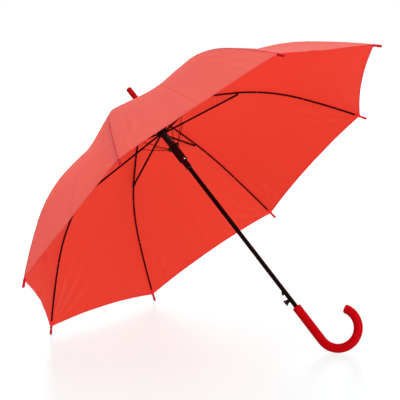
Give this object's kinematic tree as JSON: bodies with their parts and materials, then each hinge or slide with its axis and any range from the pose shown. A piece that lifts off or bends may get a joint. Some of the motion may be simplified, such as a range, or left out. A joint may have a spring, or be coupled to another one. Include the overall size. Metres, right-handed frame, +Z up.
{
  "type": "stick umbrella",
  "caption": "Open stick umbrella with a domed cloth canopy on hinged ribs, a sliding runner with linked stretchers and a crook handle, resting on its rim and handle.",
  "frame": {"origin": "on the floor, under the middle of the resting umbrella's bounding box", "axes": "+Z up; the shaft lies in the XZ plane with the ferrule up towards -X and the crook handle down towards +X; +Y runs across the canopy"},
  "size_m": [0.7355, 0.9666, 0.6832],
  "materials": {
    "canopy_cloth": "plain-woven red umbrella cloth, thin enough to glow, faint sheen",
    "strap_cloth": "the same red cloth doubled and stitched",
    "grip_plastic": "glossy moulded dark red plastic",
    "ferrule_plastic": "glossy moulded dark red plastic",
    "runner_plastic": "moulded near-black maroon plastic, satin",
    "shaft_enamel": "black enamelled steel tube",
    "rib_enamel": "black enamelled fluted spring steel",
    "link_wire": "dark lacquered thin wire",
    "bare_wire": "bright drawn steel wire",
    "spring_steel": "oil-blackened spring steel",
    "catch_steel": "blackened pressed steel",
    "collar_metal": "worn nickel-plated rim",
    "rivet_metal": "polished nickel"
  },
  "bodies": {
    "root": {"shaft_tube": "shaft_enamel", "ferrule": "ferrule_plastic", "top_washer": "ferrule_plastic", "crown": "runner_plastic", "crown_wire": "bare_wire", "open_stop": "shaft_enamel", "catch_spring": "spring_steel", "grip": "grip_plastic"},
    "hub": {"runner_hub": "runner_plastic", "hub_wire": "bare_wire", "opening_spring": "spring_steel"},
    "barrel": {"runner_barrel": "runner_plastic", "barrel_wire": "bare_wire", "barrel_rivet": "rivet_metal", "barrel_collar": "collar_metal"},
    "button": {"release_button": "runner_plastic"},
    "catch": {"closing_catch": "catch_steel"},
    "rib_1": {"rib_1": "rib_enamel", "gore_1": "canopy_cloth"},
    "tip_1": {"rib_end_1": "rib_enamel"},
    "stretcher_1": {"stretcher_1": "rib_enamel"},
    "link_1": {"link_1": "link_wire"},
    "rib_2": {"rib_2": "rib_enamel", "gore_2": "canopy_cloth"},
    "tip_2": {"rib_end_2": "rib_enamel", "tie_strap": "strap_cloth", "strap_snap": "rivet_metal"},
    "stretcher_2": {"stretcher_2": "rib_enamel"},
    "link_2": {"link_2": "link_wire"},
    "rib_3": {"rib_3": "rib_enamel", "gore_3": "canopy_cloth"},
    "tip_3": {"rib_end_3": "rib_enamel"},
    "stretcher_3": {"stretcher_3": "rib_enamel"},
    "link_3": {"link_3": "link_wire"},
    "rib_4": {"rib_4": "rib_enamel", "gore_4": "canopy_cloth"},
    "tip_4": {"rib_end_4": "rib_enamel"},
    "stretcher_4": {"stretcher_4": "rib_enamel"},
    "link_4": {"link_4": "link_wire"},
    "rib_5": {"rib_5": "rib_enamel", "gore_5": "canopy_cloth"},
    "tip_5": {"rib_end_5": "rib_enamel"},
    "stretcher_5": {"stretcher_5": "rib_enamel"},
    "link_5": {"link_5": "link_wire"},
    "rib_6": {"rib_6": "rib_enamel", "gore_6": "canopy_cloth"},
    "tip_6": {"rib_end_6": "rib_enamel"},
    "stretcher_6": {"stretcher_6": "rib_enamel"},
    "link_6": {"link_6": "link_wire"},
    "rib_7": {"rib_7": "rib_enamel", "gore_7": "canopy_cloth"},
    "tip_7": {"rib_end_7": "rib_enamel"},
    "stretcher_7": {"stretcher_7": "rib_enamel"},
    "link_7": {"link_7": "link_wire"},
    "rib_8": {"rib_8": "rib_enamel", "gore_8": "canopy_cloth"},
    "tip_8": {"rib_end_8": "rib_enamel"},
    "stretcher_8": {"stretcher_8": "rib_enamel"},
    "link_8": {"link_8": "link_wire"}
  },
  "joints": [
    {"name": "runner_slide", "type": "slide", "parent": "root", "child": "hub", "axis": [0.6928, 0, -0.7211], "range_m": [0, 0.41092], "stiffness_N_per_m": 40, "springref_m": -0.5},
    {"name": "rib_1_hinge", "type": "hinge", "parent": "root", "child": "rib_1", "pos_m": [-0.20691, -0.00344, 0.52562], "axis": [0.276, -0.9239, 0.2651], "range_deg": [0, 73.41], "deforming": ["gore_1"]},
    {"name": "rib_1_flex", "type": "hinge", "parent": "rib_1", "child": "tip_1", "pos_m": [-0.32627, -0.0955, 0.32908], "axis": [-0.276, 0.9239, -0.2651], "range_deg": [0, 25]},
    {"name": "stretcher_1_hinge", "type": "hinge", "parent": "hub", "child": "stretcher_1", "pos_m": [-0.15329, -0.00668, 0.47174], "axis": [-0.276, 0.9239, -0.2651], "range_deg": [0, 84.67]},
    {"name": "rib_2_hinge", "type": "hinge", "parent": "root", "child": "rib_2", "pos_m": [-0.20339, -0.00831, 0.52899], "axis": [0.6662, -0.3827, 0.6401], "range_deg": [0, 73.41], "deforming": ["gore_2"]},
    {"name": "rib_2_flex", "type": "hinge", "parent": "rib_2", "child": "tip_2", "pos_m": [-0.22888, -0.23056, 0.42265], "axis": [-0.6662, 0.3827, -0.6401], "range_deg": [0, 25], "deforming": ["tie_strap", "strap_snap"]},
    {"name": "stretcher_2_hinge", "type": "hinge", "parent": "hub", "child": "stretcher_2", "pos_m": [-0.14841, -0.00965, 0.47643], "axis": [-0.6662, 0.3827, -0.6401], "range_deg": [0, 84.67]},
    {"name": "rib_3_hinge", "type": "hinge", "parent": "root", "child": "rib_3", "pos_m": [-0.19843, -0.00831, 0.53376], "axis": [0.6662, 0.3827, 0.6401], "range_deg": [0, 73.41], "deforming": ["gore_3"]},
    {"name": "rib_3_flex", "type": "hinge", "parent": "rib_3", "child": "tip_3", "pos_m": [-0.09115, -0.23056, 0.55498], "axis": [-0.6662, -0.3827, -0.6401], "range_deg": [0, 25]},
    {"name": "stretcher_3_hinge", "type": "hinge", "parent": "hub", "child": "stretcher_3", "pos_m": [-0.14344, -0.00698, 0.4812], "axis": [-0.6662, -0.3827, -0.6401], "range_deg": [0, 84.67]},
    {"name": "rib_4_hinge", "type": "hinge", "parent": "root", "child": "rib_4", "pos_m": [-0.19491, -0.00344, 0.53714], "axis": [0.276, 0.9239, 0.2651], "range_deg": [0, 73.41], "deforming": ["gore_4"]},
    {"name": "rib_4_flex", "type": "hinge", "parent": "rib_4", "child": "tip_4", "pos_m": [0.00624, -0.0955, 0.64855], "axis": [-0.276, -0.9239, -0.2651], "range_deg": [0, 25]},
    {"name": "stretcher_4_hinge", "type": "hinge", "parent": "hub", "child": "stretcher_4", "pos_m": [-0.14129, -0.00021, 0.48326], "axis": [-0.276, -0.9239, -0.2651], "range_deg": [0, 84.67]},
    {"name": "rib_5_hinge", "type": "hinge", "parent": "root", "child": "rib_5", "pos_m": [-0.19491, 0.00344, 0.53714], "axis": [-0.276, 0.9239, -0.2651], "range_deg": [0, 73.41], "deforming": ["gore_5"]},
    {"name": "rib_5_flex", "type": "hinge", "parent": "rib_5", "child": "tip_5", "pos_m": [0.00624, 0.0955, 0.64855], "axis": [0.276, -0.9239, 0.2651], "range_deg": [0, 25]},
    {"name": "stretcher_5_hinge", "type": "hinge", "parent": "hub", "child": "stretcher_5", "pos_m": [-0.14323, 0.00668, 0.48141], "axis": [0.276, -0.9239, 0.2651], "range_deg": [0, 84.67]},
    {"name": "rib_6_hinge", "type": "hinge", "parent": "root", "child": "rib_6", "pos_m": [-0.19843, 0.00831, 0.53376], "axis": [-0.6662, 0.3827, -0.6401], "range_deg": [0, 73.41], "deforming": ["gore_6"]},
    {"name": "rib_6_flex", "type": "hinge", "parent": "rib_6", "child": "tip_6", "pos_m": [-0.09115, 0.23056, 0.55498], "axis": [0.6662, -0.3827, 0.6401], "range_deg": [0, 25]},
    {"name": "stretcher_6_hinge", "type": "hinge", "parent": "hub", "child": "stretcher_6", "pos_m": [-0.1481, 0.00965, 0.47672], "axis": [0.6662, -0.3827, 0.6401], "range_deg": [0, 84.67]},
    {"name": "rib_7_hinge", "type": "hinge", "parent": "root", "child": "rib_7", "pos_m": [-0.20339, 0.00831, 0.52899], "axis": [-0.6662, -0.3827, -0.6401], "range_deg": [0, 73.41], "deforming": ["gore_7"]},
    {"name": "rib_7_flex", "type": "hinge", "parent": "rib_7", "child": "tip_7", "pos_m": [-0.22888, 0.23056, 0.42265], "axis": [0.6662, 0.3827, 0.6401], "range_deg": [0, 25]},
    {"name": "stretcher_7_hinge", "type": "hinge", "parent": "hub", "child": "stretcher_7", "pos_m": [-0.15307, 0.00698, 0.47195], "axis": [0.6662, 0.3827, 0.6401], "range_deg": [0, 84.67]},
    {"name": "rib_8_hinge", "type": "hinge", "parent": "root", "child": "rib_8", "pos_m": [-0.20691, 0.00344, 0.52562], "axis": [-0.276, -0.9239, -0.2651], "range_deg": [0, 73.41], "deforming": ["gore_8"]},
    {"name": "rib_8_flex", "type": "hinge", "parent": "rib_8", "child": "tip_8", "pos_m": [-0.32627, 0.0955, 0.32908], "axis": [0.276, 0.9239, 0.2651], "range_deg": [0, 25]},
    {"name": "stretcher_8_hinge", "type": "hinge", "parent": "hub", "child": "stretcher_8", "pos_m": [-0.15522, 0.00021, 0.46988], "axis": [0.276, 0.9239, 0.2651], "range_deg": [0, 84.67]},
    {"name": "barrel_slide", "type": "slide", "parent": "hub", "child": "barrel", "axis": [0.6928, 0, -0.7211], "range_m": [-0.03049, 0], "deforming": ["opening_spring"]},
    {"name": "link_1_hinge", "type": "hinge", "parent": "barrel", "child": "link_1", "pos_m": [-0.12505, -0.00498, 0.43508], "axis": [-0.276, 0.9239, -0.2651], "range_deg": [0, 48.13]},
    {"name": "link_2_hinge", "type": "hinge", "parent": "barrel", "child": "link_2", "pos_m": [-0.11997, -0.01201, 0.43995], "axis": [-0.6662, 0.3827, -0.6401], "range_deg": [0, 48.13]},
    {"name": "link_3_hinge", "type": "hinge", "parent": "barrel", "child": "link_3", "pos_m": [-0.1128, -0.01201, 0.44685], "axis": [-0.6662, -0.3827, -0.6401], "range_deg": [0, 48.13]},
    {"name": "link_4_hinge", "type": "hinge", "parent": "barrel", "child": "link_4", "pos_m": [-0.10773, -0.00498, 0.45172], "axis": [-0.276, -0.9239, -0.2651], "range_deg": [0, 48.13]},
    {"name": "link_5_hinge", "type": "hinge", "parent": "barrel", "child": "link_5", "pos_m": [-0.10773, 0.00498, 0.45172], "axis": [0.276, -0.9239, 0.2651], "range_deg": [0, 48.13]},
    {"name": "link_6_hinge", "type": "hinge", "parent": "barrel", "child": "link_6", "pos_m": [-0.1128, 0.01201, 0.44685], "axis": [0.6662, -0.3827, 0.6401], "range_deg": [0, 48.13]},
    {"name": "link_7_hinge", "type": "hinge", "parent": "barrel", "child": "link_7", "pos_m": [-0.11997, 0.01201, 0.43995], "axis": [0.6662, 0.3827, 0.6401], "range_deg": [0, 48.13]},
    {"name": "link_8_hinge", "type": "hinge", "parent": "barrel", "child": "link_8", "pos_m": [-0.12505, 0.00498, 0.43508], "axis": [0.276, 0.9239, 0.2651], "range_deg": [0, 48.13]},
    {"name": "button_press", "type": "slide", "parent": "root", "child": "button", "axis": [0.6425, 0.454, 0.6173], "range_m": [0, 0.003], "stiffness_N_per_m": 600, "springref_m": -0.002},
    {"name": "catch_press", "type": "slide", "parent": "root", "child": "catch", "axis": [0.6425, 0.454, 0.6173], "range_m": [0, 0.003]}
  ],
  "couplings": [
    {"joint": "rib_1_hinge", "follows": "runner_slide", "rad_per_m": 3.1179},
    {"joint": "rib_1_flex", "follows": "runner_slide", "rad_per_m": 1.0618},
    {"joint": "stretcher_1_hinge", "follows": "runner_slide", "rad_per_m": 3.5963},
    {"joint": "rib_2_hinge", "follows": "runner_slide", "rad_per_m": 3.1179},
    {"joint": "rib_2_flex", "follows": "runner_slide", "rad_per_m": 1.0618},
    {"joint": "stretcher_2_hinge", "follows": "runner_slide", "rad_per_m": 3.5963},
    {"joint": "rib_3_hinge", "follows": "runner_slide", "rad_per_m": 3.1179},
    {"joint": "rib_3_flex", "follows": "runner_slide", "rad_per_m": 1.0618},
    {"joint": "stretcher_3_hinge", "follows": "runner_slide", "rad_per_m": 3.5963},
    {"joint": "rib_4_hinge", "follows": "runner_slide", "rad_per_m": 3.1179},
    {"joint": "rib_4_flex", "follows": "runner_slide", "rad_per_m": 1.0618},
    {"joint": "stretcher_4_hinge", "follows": "runner_slide", "rad_per_m": 3.5963},
    {"joint": "rib_5_hinge", "follows": "runner_slide", "rad_per_m": 3.1179},
    {"joint": "rib_5_flex", "follows": "runner_slide", "rad_per_m": 1.0618},
    {"joint": "stretcher_5_hinge", "follows": "runner_slide", "rad_per_m": 3.5963},
    {"joint": "rib_6_hinge", "follows": "runner_slide", "rad_per_m": 3.1179},
    {"joint": "rib_6_flex", "follows": "runner_slide", "rad_per_m": 1.0618},
    {"joint": "stretcher_6_hinge", "follows": "runner_slide", "rad_per_m": 3.5963},
    {"joint": "rib_7_hinge", "follows": "runner_slide", "rad_per_m": 3.1179},
    {"joint": "rib_7_flex", "follows": "runner_slide", "rad_per_m": 1.0618},
    {"joint": "stretcher_7_hinge", "follows": "runner_slide", "rad_per_m": 3.5963},
    {"joint": "rib_8_hinge", "follows": "runner_slide", "rad_per_m": 3.1179},
    {"joint": "rib_8_flex", "follows": "runner_slide", "rad_per_m": 1.0618},
    {"joint": "stretcher_8_hinge", "follows": "runner_slide", "rad_per_m": 3.5963},
    {"joint": "barrel_slide", "follows": "runner_slide", "ratio": -0.074175},
    {"joint": "link_1_hinge", "follows": "runner_slide", "rad_per_m": 2.0442},
    {"joint": "link_2_hinge", "follows": "runner_slide", "rad_per_m": 2.0442},
    {"joint": "link_3_hinge", "follows": "runner_slide", "rad_per_m": 2.0442},
    {"joint": "link_4_hinge", "follows": "runner_slide", "rad_per_m": 2.0442},
    {"joint": "link_5_hinge", "follows": "runner_slide", "rad_per_m": 2.0442},
    {"joint": "link_6_hinge", "follows": "runner_slide", "rad_per_m": 2.0442},
    {"joint": "link_7_hinge", "follows": "runner_slide", "rad_per_m": 2.0442},
    {"joint": "link_8_hinge", "follows": "runner_slide", "rad_per_m": 2.0442},
    {"joint": "catch_press", "follows": "button_press", "ratio": 1}
  ]
}
